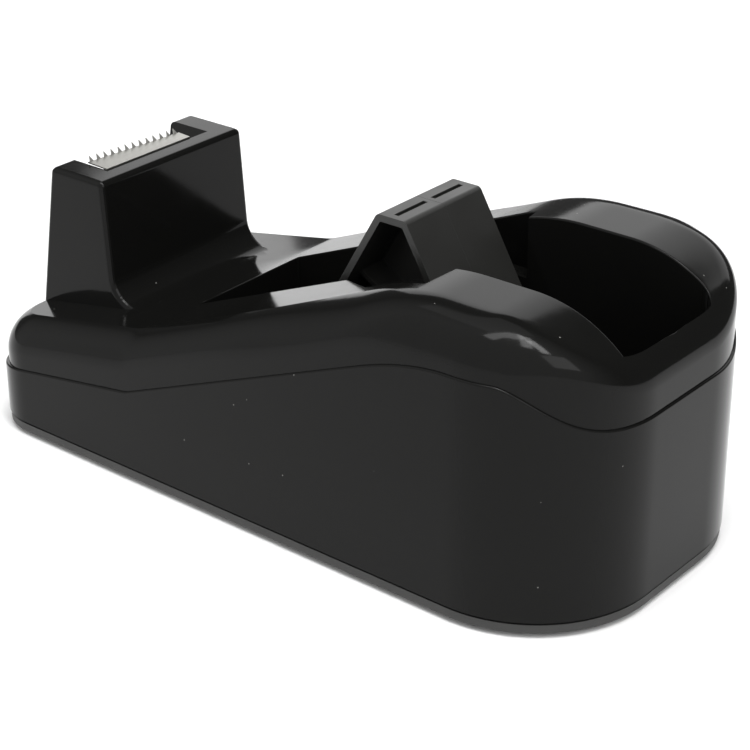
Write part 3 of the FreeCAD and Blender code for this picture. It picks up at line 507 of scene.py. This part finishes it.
def shell_section(shell, point, out, rim, near_side):
    """One cut through the moulding as (plan point, height), from the bottom edge up the wall, over the
    shoulder, across the top and down the wall of the tape well."""
    s = shell.s
    sign = -1.0 if near_side else 1.0
    upper = point - out * (s.ledge_step + s.front_step * max(0.0, -out.x) ** 2)
    ledge = shell.ledge(point.x)
    crest_share = smooth_step(*CREST_BLEND, point.x)
    tail_share = smooth_step(*TAIL_BLEND, point.x)
    round_in = s.front_shoulder * (1 - crest_share) + s.crest_shoulder * crest_share
    round_in = round_in * (1 - tail_share) + s.rear_shoulder * tail_share
    inner = upper - out * round_in
    top_here = shell.top(inner.x)
    lip = math.tan(s.lip_angle) * (1 - smooth_step(*LIP_FADE, point.x))
    fall = lip - shell.top_slope(inner.x) * out.x
    peak = top_here - fall * round_in
    low = max(peak - round_in * math.sqrt(1 + fall * fall) * (1.0 - 0.15 * tail_share), ledge + 2.5 * MM)
    path = [(point, shell.bottom)]
    path += [(point, shell.bottom + (ledge - s.ledge_round - shell.bottom) * k / 6) for k in range(1, 7)]
    for k in range(1, EASE_STEPS + 1):
        angle = math.pi / 2 * k / EASE_STEPS
        path.append((point - out * s.ledge_round * (1 - math.cos(angle)),
                     ledge - s.ledge_round * (1 - math.sin(angle))))
    path += [(upper, ledge), (upper, ledge + 0.3 * MM), (upper, ledge + (low - ledge) * 0.55)]
    weight = max(0.4, min(0.95, math.cos((math.pi / 2 - math.atan(fall)) / 2)))
    for k in range(ARC_STEPS + 1):
        t = k / ARC_STEPS
        a, b, c = (1 - t) ** 2, 2 * t * (1 - t) * weight, t * t
        whole = a + b + c
        path.append((upper - out * (c * round_in / whole), (a * low + b * peak + c * top_here) / whole))
    edge = Vector((rim.x, sign * rim.y))
    span = edge - inner
    step = span.normalized()
    ease = s.rim_round
    for k in range(1, TOP_STEPS + 1):
        here = inner + step * (span.length - ease) * k / TOP_STEPS
        path.append((here, shell.top(here.x)))
    for k in range(1, EASE_STEPS + 1):
        angle = math.pi / 2 * k / EASE_STEPS
        here = edge - step * ease * (1 - math.sin(angle))
        path.append((here, shell.top(here.x) - ease * (1 - math.cos(angle))))
    rim_z = shell.top(edge.x) - ease
    shelf = min(s.grip_floor, rim_z - 0.5 * MM)
    foot = Vector((edge.x, sign * min(rim.y, s.well_half)))
    path += [(edge, rim_z + (shelf - rim_z) * k / 3) for k in (1, 2, 3)]
    path += [(foot, shelf + (s.well_floor - shelf) * k / 5) for k in range(6)]
    return path


def recess_plan(sizes, near_side):
    """Corners of a finger recess as (x, half width), front to rear."""
    half = sizes.well_half
    if near_side:
        full = half + sizes.near_recess
        end = AXIS_X + sizes.near_recess_end
        return [(AXIS_X - sizes.near_recess_start, half), (AXIS_X + sizes.near_recess_full, full),
                (end - sizes.near_recess_draft, full), (end, half)]
    full = half + sizes.far_recess
    reach = sizes.far_recess_half - sizes.far_recess_draft
    return [(AXIS_X - sizes.far_recess_half, half), (AXIS_X - reach, full),
            (AXIS_X + reach, full), (AXIS_X + sizes.far_recess_half, half)]


def rim_half(sizes, corners, x):
    """Half width of the well's rim at x, the recess included."""
    for (x0, w0), (x1, w1) in zip(corners, corners[1:]):
        if x0 <= x <= x1:
            return w0 + (w1 - w0) * (x - x0) / (x1 - x0)
    return sizes.well_half


def along(run, want):
    """The point a wanted distance along a run of points."""
    done = 0.0
    for a, b in zip(run, run[1:]):
        step = (b - a).length
        if done + step >= want:
            return a.lerp(b, (want - done) / step)
        done += step
    return run[-1].copy()


def run_length(run):
    """Length of a run of points."""
    return sum((b - a).length for a, b in zip(run, run[1:]))


def stations(shell, near_side):
    """Outline point, outward direction and well rim point of every cut on one side."""
    s = shell.s
    corners = recess_plan(s, near_side)
    plan = shell.half_plan()
    nose = [row for row in plan if row[0].x < s.well_front]
    flank = [row for row in plan if s.well_front <= row[0].x < TAIL_START and row[1].x < 0.99]
    tail = [row for row in plan if row[0].x >= TAIL_START]
    out = []
    whole = run_length([p for p, _ in nose] + [flank[0][0]])
    done = 0.0
    last = nose[0][0]
    for point, way in nose:
        done += (point - last).length
        last = point
        out.append((point, way, Vector((s.well_front, s.well_half * done / whole))))
    for x, _ in corners:
        for (pa, wa), (pb, wb) in zip(flank, flank[1:]):
            if pa.x < x <= pb.x:
                t = (x - pa.x) / (pb.x - pa.x)
                flank.append((pa.lerp(pb, t), wa.lerp(wb, t).normalized()))
                break
    for point, way in sorted(flank, key=lambda row: row[0].x):
        out.append((point, way, Vector((point.x, rim_half(s, corners, point.x)))))
    turn = s.well_near_corner if near_side else s.well_far_corner
    edge = [Vector((out[-1][0].x, s.well_half))]
    for k in range(RIM_STEPS + 1):
        angle = math.pi / 2 * k / RIM_STEPS
        edge.append(Vector((s.well_rear - turn + turn * math.sin(angle),
                            s.well_half - turn + turn * math.cos(angle))))
    edge.append(Vector((s.well_rear, 0.0)))
    outer = [out[-1][0]] + [p for p, _ in tail]
    for index, (point, way) in enumerate(tail):
        share = run_length(outer[:index + 2]) / run_length(outer)
        out.append((point, way, along(edge, share * run_length(edge))))
    return out


def lay_skin(loops):
    """A closed skin over a ring of cuts: a grid bent into place, its seam merged and both ends filled."""
    rows, columns = len(loops[0]), len(loops) + 1
    bm = bmesh.new()
    bmesh.ops.create_grid(bm, x_segments=columns - 1, y_segments=rows - 1, size=1.0)
    for vert in bm.verts:
        column = round((vert.co.x + 1) / 2 * (columns - 1))
        row = round((vert.co.y + 1) / 2 * (rows - 1))
        place, height = loops[column % len(loops)][row]
        vert.co = (place.x, place.y, height)
    bmesh.ops.remove_doubles(bm, verts=bm.verts, dist=1e-7)
    bmesh.ops.holes_fill(bm, edges=[e for e in bm.edges if e.is_boundary], sides=0)
    bmesh.ops.dissolve_degenerate(bm, edges=bm.edges, dist=1e-7)
    bmesh.ops.recalc_face_normals(bm, faces=bm.faces)
    return bm


def build_shell(sizes):
    """The body of the moulding: walls, ledge, shoulder, top, well and recesses."""
    shell = Shell(sizes)
    near = [shell_section(shell, p, w, rim, True) for p, w, rim in stations(shell, True)]
    far = [shell_section(shell, Vector((p.x, -p.y)), Vector((w.x, -w.y)), rim, False)
           for p, w, rim in stations(shell, False)]
    return lay_skin(near + far[-2:0:-1])


def box_solid(name, low, high):
    """A plain block used only to cut or join, then taken away."""
    bm = bmesh.new()
    bmesh.ops.create_cube(bm, size=1.0)
    centre = (Vector(low) + Vector(high)) / 2
    bmesh.ops.scale(bm, vec=Vector(high) - Vector(low), verts=bm.verts)
    bmesh.ops.translate(bm, vec=centre, verts=bm.verts)
    return tool_object(name, bm)


def tool_object(name, bm):
    """A plain object from a bmesh, its faces turned outward."""
    mesh = bpy.data.meshes.new(name)
    bmesh.ops.recalc_face_normals(bm, faces=bm.faces)
    bm.to_mesh(mesh)
    bm.free()
    item = bpy.data.objects.new(name, mesh)
    bpy.context.scene.collection.objects.link(item)
    return item


def combine(base, tool, operation):
    """Joins or cuts two closed solids and removes the tool."""
    change = base.modifiers.new(operation.lower(), "BOOLEAN")
    change.operation, change.object, change.solver = operation, tool, "EXACT"
    graph = bpy.context.evaluated_depsgraph_get()
    result = bpy.data.meshes.new_from_object(base.evaluated_get(graph))
    base.modifiers.clear()
    old = base.data
    base.data = result
    bpy.data.meshes.remove(old)
    bpy.data.objects.remove(tool)


def build_tower(sizes):
    """The blade tower: drafted front and back, with a hollow curve where its back meets the platform."""
    top, front, back = sizes.tower_top, sizes.tower_front, sizes.tower_back
    shell = Shell(sizes)
    root, rear_x, sink = 38.0 * MM, -60.0 * MM, 0.06 * MM
    corner_x = back + (top - shell.platform(back)) * sizes.tower_back_lean
    line = [(front - (top - root) * sizes.tower_front_lean, root), (rear_x, root),
            (rear_x, shell.platform(rear_x) - sink), (corner_x, shell.platform(corner_x) - sink),
            (back, top), (front, top)]
    outline = rounded(line, [0, 0, 0, sizes.tower_foot_curve, 0, 0], 24)
    bm = bmesh.new()
    face = bm.faces.new([bm.verts.new((x, -1.0, z)) for x, z in outline])
    grown = bmesh.ops.extrude_face_region(bm, geom=[face])
    moved = [v for v in grown["geom"] if isinstance(v, bmesh.types.BMVert)]
    bmesh.ops.translate(bm, vec=(0, 2.0, 0), verts=moved)
    for vert in bm.verts:
        half = sizes.tower_half + (top - vert.co.z) * sizes.tower_side_lean
        vert.co.y = math.copysign(half, vert.co.y)
    bmesh.ops.recalc_face_normals(bm, faces=bm.faces)
    tower = tool_object("tower", bm)
    ahead, above = HOUSING_LOW.x - 7.4 * MM, top + 21.5 * MM
    combine(tower, box_solid("slot", (ahead, -sizes.slot_half, sizes.slot_floor),
                             (sizes.slot_rear, sizes.slot_half, above)), "DIFFERENCE")
    bm = bmesh.new()
    bm.from_mesh(tower.data)
    bmesh.ops.remove_doubles(bm, verts=bm.verts, dist=1e-6)
    bmesh.ops.dissolve_limit(bm, angle_limit=math.radians(0.5), verts=bm.verts, edges=bm.edges)

    def hard(edge):
        return len(edge.link_faces) == 2 and edge.calc_face_angle(0.0) > 0.6

    def across(x):
        """The hard edges along the top of the face at x that aren't picked yet."""
        return [e for e in bm.edges if hard(e) and min(v.co.z for v in e.verts) > top - 1e-5
                and all(abs(v.co.x - x) < 1e-5 for v in e.verts) and e not in outer]

    def ease(edges, radius, segments):
        bmesh.ops.bevel(bm, geom=edges, offset=radius, offset_type="OFFSET", segments=segments, profile=0.5,
                        affect="EDGES", clamp_overlap=True, material=-1)

    outer = [e for e in bm.edges if hard(e) and min(abs(v.co.y) for v in e.verts) > sizes.slot_half + MM
             and max(v.co.z for v in e.verts) > root + 8 * MM]
    outer += across(back)
    outer += across(front)
    ease(outer, sizes.tower_round, 5)
    inner = [e for e in bm.edges if hard(e) and max(abs(v.co.y) for v in e.verts) < sizes.slot_half + 0.1 * MM
             and min(v.co.z for v in e.verts) > top - 0.1 * MM]
    ease(inner, 0.5 * MM, 2)
    bmesh.ops.recalc_face_normals(bm, faces=bm.faces)
    bm.to_mesh(tower.data)
    bm.free()
    return tower


def build_seat(sizes):
    """The room for the axle in both recess floors, open to the top."""
    seat = AXLE_RADIUS + sizes.seat_fit
    bm = bmesh.new()
    turn = Matrix.Translation((AXIS_X, 0, AXIS_Z)) @ Matrix.Rotation(math.pi / 2, 4, "X")
    bmesh.ops.create_cone(bm, cap_ends=True, segments=48, radius1=seat, radius2=seat,
                          depth=AXLE_HIGH.y - AXLE_LOW.y + 0.4 * MM, matrix=turn)
    for vert in bm.verts:
        if vert.co.z > AXIS_Z + 1e-6:
            vert.co.z = sizes.grip_floor + 11.0 * MM
    return tool_object("seat", bm)


class DISPENSER_OT_housing(bpy.types.Operator):
    """Build the one-piece moulding"""
    bl_idname = "dispenser.housing"
    bl_label = "Housing"

    def execute(self, context):
        sizes = context.scene.dispenser_housing
        body = tool_object("housing_moulding", build_shell(sizes))
        combine(body, build_tower(sizes), "UNION")
        combine(body, build_seat(sizes), "DIFFERENCE")
        bm = bmesh.new()
        bm.from_mesh(body.data)
        bpy.data.objects.remove(body)
        bmesh.ops.remove_doubles(bm, verts=bm.verts, dist=1e-6)
        piece("housing_moulding", bm, "housing", "base", "housing_plastic", "housing", sharp=math.radians(13))
        return {"FINISHED"}


def build_blade(sizes):
    """The folded strip of the cutter with its row of long slanted teeth."""
    low, high = BLADE_LOW, BLADE_HIGH
    sheet = 0.8 * MM
    near_end = 0.1 * MM - sizes.slot_half
    width = high.y - near_end
    teeth = round(width / sizes.tooth_pitch)
    bm = bmesh.new()
    bmesh.ops.create_grid(bm, x_segments=2, y_segments=teeth * 4, size=0.5)
    rows = sorted({round(v.co.y, 5) for v in bm.verts})
    fold_x, root_x, root_z = high.x - sheet, low.x + 1.4 * MM, high.z - 2.0 * MM
    for vert in bm.verts:
        row = rows.index(round(vert.co.y, 5))
        column = round((vert.co.x + 0.5) * 2)
        share = row / (len(rows) - 1)
        y, back = near_end + width * share, sizes.blade_skew * share
        if column == 2:
            vert.co = (fold_x, y, high.z - 2.3 * MM)
        elif column == 0 and row % 4 == 2:
            vert.co = (low.x + 0.1 * MM + back, y, high.z - 0.05 * MM)
        else:
            vert.co = (root_x + back, y, root_z)
    fold = [e for e in bm.edges if all(abs(v.co.x - fold_x) < 1e-7 for v in e.verts)]
    leg = bmesh.ops.extrude_edge_only(bm, edges=fold)
    for vert in (v for v in leg["geom"] if isinstance(v, bmesh.types.BMVert)):
        vert.co.z = low.z
    bmesh.ops.remove_doubles(bm, verts=bm.verts, dist=1e-6)
    bmesh.ops.dissolve_degenerate(bm, edges=bm.edges, dist=1e-6)
    bmesh.ops.recalc_face_normals(bm, faces=bm.faces)
    bmesh.ops.solidify(bm, geom=bm.faces[:], thickness=0.5 * MM)
    bmesh.ops.recalc_face_normals(bm, faces=bm.faces)
    return bm


class DISPENSER_OT_hub(bpy.types.Operator):
    """Build the two halves of the hub with their edges eased"""
    bl_idname = "dispenser.hub"
    bl_label = "Hub"

    def execute(self, context):
        for side in ("near", "far"):
            softened("hub_half_" + side, "hub_" + side, "hub", "hub", "hub_plastic", 0.35 * MM)
        return {"FINISHED"}


class DISPENSER_OT_blade(bpy.types.Operator):
    """Build the toothed blade"""
    bl_idname = "dispenser.blade"
    bl_label = "Blade"

    def execute(self, context):
        piece("toothed_blade", build_blade(context.scene.dispenser_housing), "blade", "base", "blade_steel",
              "blade", sharp=math.radians(25))
        return {"FINISHED"}


NODE_FINISHES = {
    "bottom_plate": "base", "foot_pad": "rubber", "base_screws": "turned", "near_weight": "iron",
    "far_weight": "iron", "hub_axle": "turned", "near_collar": "small", "far_collar": "small",
    "blade_clamp": "small", "clamp_screws": "turned"}


class DISPENSER_OT_fittings(bpy.types.Operator):
    """Finish the plate, pad, weights, axle, collars, clamp and screws"""
    bl_idname = "dispenser.fittings"
    bl_label = "Fittings"

    def execute(self, context):
        for node, name in NODE_FINISHES.items():
            dress(node, name)
        return {"FINISHED"}


def area_light(name, place, aim, width, height, power):
    """A rectangular lamp turned towards a point."""
    lamp = bpy.data.lights.new(name, "AREA")
    lamp.shape = "RECTANGLE"
    lamp.size, lamp.size_y = width, height
    lamp.energy = power
    item = bpy.data.objects.new(name, lamp)
    item.location = place
    item.visible_camera = False
    item.rotation_euler = (Vector(aim) - Vector(place)).to_track_quat("-Z", "Y").to_euler()
    bpy.context.scene.collection.objects.link(item)


CAMERA_PLACE = (0.4240, -0.51175, 0.36967)
CAMERA_AZIMUTH, CAMERA_ELEVATION, CAMERA_ROLL = (math.radians(a) for a in (39.19, 26.653, -0.205))
# The sky is brightest towards this direction and darkens away from it.
SKY_DIRECTION = (0.2, -0.9, 0.35)


class DISPENSER_OT_stage(bpy.types.Operator):
    """Lay the floor, hang the lights and set the camera"""
    bl_idname = "dispenser.stage"
    bl_label = "Stage"

    def execute(self, context):
        scene = context.scene
        bm = bmesh.new()
        bmesh.ops.create_grid(bm, x_segments=2, y_segments=2, size=0.8)
        mesh = bpy.data.meshes.new("floor")
        bm.to_mesh(mesh)
        bm.free()
        floor = bpy.data.objects.new("floor", mesh)
        scene.collection.objects.link(floor)
        paint = bpy.data.materials.new("pale_floor")
        paint.use_nodes = True
        shader = paint.node_tree.nodes["Principled BSDF"]
        shader.inputs["Base Color"].default_value = solid(scene.dispenser_finish.floor)
        shader.inputs["Roughness"].default_value = 0.9
        shader.inputs["Specular IOR Level"].default_value = 0.1
        mesh.materials.append(paint)
        world = bpy.data.worlds.new("studio")
        world.use_nodes = True
        hand = Nodes(world.node_tree)
        place = hand.add("ShaderNodeTexCoord")
        toward = hand.add("ShaderNodeVectorMath", {1: SKY_DIRECTION}, operation="DOT_PRODUCT")
        hand.join(place.outputs["Generated"], toward.inputs[0])
        sky = hand.add("ShaderNodeMapRange",
                       {"From Min": -0.2, "From Max": 0.35, "To Min": 0.1, "To Max": 1.0})
        hand.join(toward.outputs["Value"], sky.inputs["Value"])
        backdrop = world.node_tree.nodes["Background"]
        backdrop.inputs["Color"].default_value = (1, 1, 1, 1)
        seen = hand.add("ShaderNodeLightPath")
        brightest = hand.add("ShaderNodeMath", operation="MAXIMUM")
        hand.join(sky.outputs["Result"], brightest.inputs[0])
        hand.join(seen.outputs["Is Camera Ray"], brightest.inputs[1])
        hand.join(brightest.outputs[0], backdrop.inputs["Strength"])
        scene.world = world
        for index in range(3):
            area_light("overhead_softbox_%d" % index, (-0.12 + 0.36 * index, -0.34 + 0.06 * index, 1.7),
                       (0.02 + 0.1 * index, -0.05, 0.05), 0.3, 0.8, 5.0 + 3.0 * index)
        area_light("high_fill", (-0.6, 0.3, 2.0), (0, 0, 0), 1.2, 1.2, 2.5)
        area_light("low_panel", (-0.90, 0.51, 0.12), (0, 0, 0.06), 0.5, 0.4, 1.05)
        area_light("rear_panel", (-0.25, 0.98, 0.6), (0.05, 0, 0.08), 1.5, 0.5, 4.2)
        area_light("right_fill", (1.2, -0.35, 1.0), (0.25, 0, 0), 0.8, 0.8, 5.0)
        camera = bpy.data.cameras.new("camera")
        camera.lens, camera.sensor_width = 100.5, 36.0
        camera.clip_start, camera.clip_end = 0.01, 20.0
        view = bpy.data.objects.new("camera", camera)
        az, el, roll = CAMERA_AZIMUTH, CAMERA_ELEVATION, CAMERA_ROLL
        back = Vector((math.sin(az) * math.cos(el), -math.cos(az) * math.cos(el), math.sin(el)))
        turn = (-back).to_track_quat("-Z", "Y").to_matrix().to_4x4() @ Matrix.Rotation(roll, 4, "Z")
        view.matrix_world = Matrix.Translation(CAMERA_PLACE) @ turn
        scene.collection.objects.link(view)
        scene.camera = view
        scene.view_settings.view_transform = "Standard"
        return {"FINISHED"}


class DISPENSER_PT_panel(bpy.types.Panel):
    """Lists the pieces of the dispenser"""
    bl_idname = "DISPENSER_PT_panel"
    bl_label = "Desktop Tape Dispenser"
    bl_space_type = "VIEW_3D"
    bl_region_type = "UI"
    bl_category = "Dispenser"

    def draw(self, context):
        for cls in OPERATORS:
            self.layout.operator(cls.bl_idname)


OPERATORS = (DISPENSER_OT_housing, DISPENSER_OT_hub, DISPENSER_OT_blade, DISPENSER_OT_fittings,
             DISPENSER_OT_stage)
CLASSES = (HousingSizes, FinishColours) + OPERATORS + (DISPENSER_PT_panel,)


def register():
    for cls in CLASSES:
        bpy.utils.register_class(cls)
    bpy.types.Scene.dispenser_housing = PointerProperty(type=HousingSizes)
    bpy.types.Scene.dispenser_finish = PointerProperty(type=FinishColours)


def unregister():
    del bpy.types.Scene.dispenser_finish
    del bpy.types.Scene.dispenser_housing
    for cls in reversed(CLASSES):
        bpy.utils.unregister_class(cls)


def main():
    register()
    make_finishes(bpy.context.scene.dispenser_finish)
    bpy.ops.dispenser.housing()
    bpy.ops.dispenser.hub()
    bpy.ops.dispenser.blade()
    bpy.ops.dispenser.fittings()
    bpy.ops.dispenser.stage()


if __name__ == "__main__":
    main()
